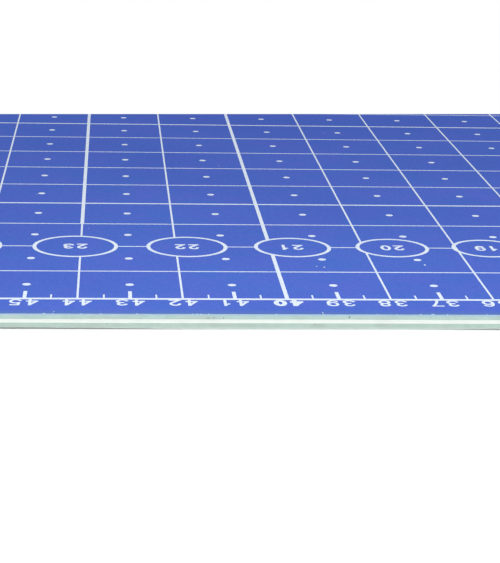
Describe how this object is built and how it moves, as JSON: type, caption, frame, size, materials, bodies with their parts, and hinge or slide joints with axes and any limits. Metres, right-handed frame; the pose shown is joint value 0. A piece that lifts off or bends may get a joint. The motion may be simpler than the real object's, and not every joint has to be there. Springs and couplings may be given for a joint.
{
  "type": "cutting mat",
  "caption": "Flat rectangular self-healing cutting mat with rounded corners, bonded from coloured plies, with a white centimetre grid printed on the top face.",
  "frame": {"origin": "centre of the underside, on the surface that the mat lies on", "axes": "+X along the long side, with the zero of the printed scale at +X; +Y across the mat; +Z out of the printed face"},
  "size_m": [0.9, 0.6, 0.0031],
  "materials": {
    "blue_film": "matte, finely grained blue PVC film",
    "pale_film": "matte, finely grained pale green PVC film",
    "pale_green_sheet": "soft pale green PVC, cut edge",
    "white_core": "stiffer white plastic, cut edge",
    "white_ink": "screen-printed white ink"
  },
  "bodies": {
    "root": {"bottom_film": "pale_film", "lower_healing_sheet": "pale_green_sheet", "core_sheet": "white_core", "upper_healing_sheet": "pale_green_sheet", "top_film": "blue_film", "cross_lines_ink": "white_ink", "long_lines_ink": "white_ink"}
  },
  "joints": []
}
